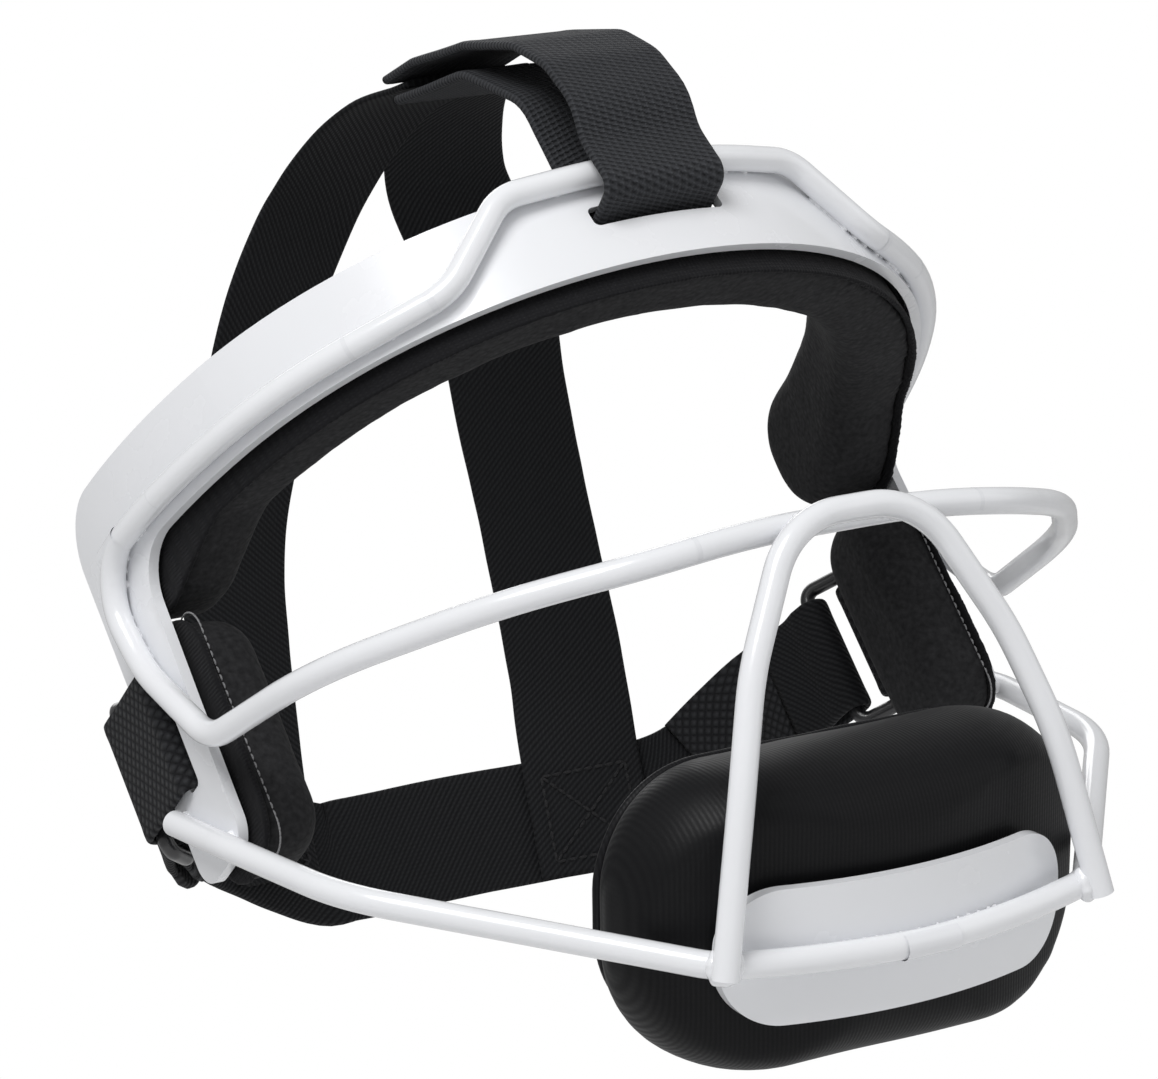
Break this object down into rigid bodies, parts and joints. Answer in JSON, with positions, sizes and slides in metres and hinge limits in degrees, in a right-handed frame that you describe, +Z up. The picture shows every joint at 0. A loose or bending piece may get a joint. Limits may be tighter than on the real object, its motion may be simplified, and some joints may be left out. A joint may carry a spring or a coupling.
{
  "type": "softball face guard",
  "caption": "White coated wire face guard with forehead and chin plates, dark foam pads, a knit chin cup and an elastic head harness on side rings.",
  "frame": {"origin": "middle of the head space, between the temples", "axes": "+Z up as worn, -Y the way the face looks, +X the wearer's left"},
  "size_m": [0.1804, 0.189, 0.1963],
  "materials": {
    "coated_wire": "gloss white coating over steel rod",
    "coated_plate": "gloss white coating over steel sheet",
    "hook_tape": "black hook tape",
    "pad_backing": "black loop backing",
    "pad_foam": "dark grey speckled closed-cell foam",
    "cup_knit": "black ribbed knit with a satin sheen",
    "cup_core": "grey foam",
    "cup_lining": "black brushed lining",
    "binding": "black bound edge",
    "elastic": "black woven elastic",
    "webbing": "black plain-weave webbing",
    "thread": "dark grey thread",
    "ring_plastic": "black moulded plastic"
  },
  "bodies": {
    "frame": {"upper_wire": "coated_wire", "jaw_wire": "coated_wire", "nose_wire": "coated_wire", "forehead_plate": "coated_plate", "chin_plate": "coated_plate", "forehead_hook_tape": "hook_tape", "chin_hook_tape": "hook_tape", "right_leg_hook_tape": "hook_tape", "left_leg_hook_tape": "hook_tape"},
    "forehead_pad": {"forehead_pad_backing": "pad_backing", "forehead_pad_foam": "pad_foam"},
    "right_jaw_pad": {"right_jaw_pad_backing": "pad_backing", "right_jaw_pad_foam": "pad_foam"},
    "left_jaw_pad": {"left_jaw_pad_backing": "pad_backing", "left_jaw_pad_foam": "pad_foam"},
    "chin_cup": {"chin_cup_patch": "pad_backing", "chin_cup_cover": "cup_knit", "chin_cup_foam": "cup_core", "chin_cup_lining": "cup_lining", "chin_cup_binding": "binding"},
    "harness": {"top_strap": "elastic", "back_strap": "elastic", "crown_stitching": "thread", "right_rear_strap": "elastic", "right_junction_stitching": "thread", "right_hook_tab": "hook_tape", "right_strap_end": "elastic", "left_rear_strap": "elastic", "left_junction_stitching": "thread", "left_hook_tab": "hook_tape", "left_strap_end": "elastic"},
    "right_side": {"right_side_tab": "webbing", "right_strap_ring": "ring_plastic"},
    "left_side": {"left_side_tab": "webbing", "left_strap_ring": "ring_plastic"}
  },
  "joints": [
    {"name": "harness_swing", "type": "hinge", "parent": "frame", "child": "harness", "pos_m": [0, -0.06755, 0.04759], "axis": [1, 0, 0], "range_deg": [-4, 4], "stiffness_Nm_per_rad": 6, "deforming": ["right_strap_end", "left_strap_end"]},
    {"name": "right_tab_swing", "type": "hinge", "parent": "frame", "child": "right_side", "pos_m": [-0.0842, 0.00451, -0.03966], "axis": [0, 0.4067, 0.9135], "range_deg": [-8, 8], "deforming": ["right_strap_end"]},
    {"name": "left_tab_swing", "type": "hinge", "parent": "frame", "child": "left_side", "pos_m": [0.0842, 0.00451, -0.03966], "axis": [0, 0.4067, 0.9135], "range_deg": [-8, 8], "deforming": ["left_strap_end"]},
    {"name": "forehead_pad_peel", "type": "slide", "parent": "frame", "child": "forehead_pad", "axis": [0, 0.9135, -0.4067], "range_m": [0, 0.025]},
    {"name": "right_jaw_pad_peel", "type": "slide", "parent": "frame", "child": "right_jaw_pad", "axis": [1, 0, 0], "range_m": [0, 0.02]},
    {"name": "left_jaw_pad_peel", "type": "slide", "parent": "frame", "child": "left_jaw_pad", "axis": [-1, 0, 0], "range_m": [0, 0.02]},
    {"name": "chin_cup_peel", "type": "slide", "parent": "frame", "child": "chin_cup", "axis": [0, 0.9397, 0.342], "range_m": [0, 0.03]}
  ]
}
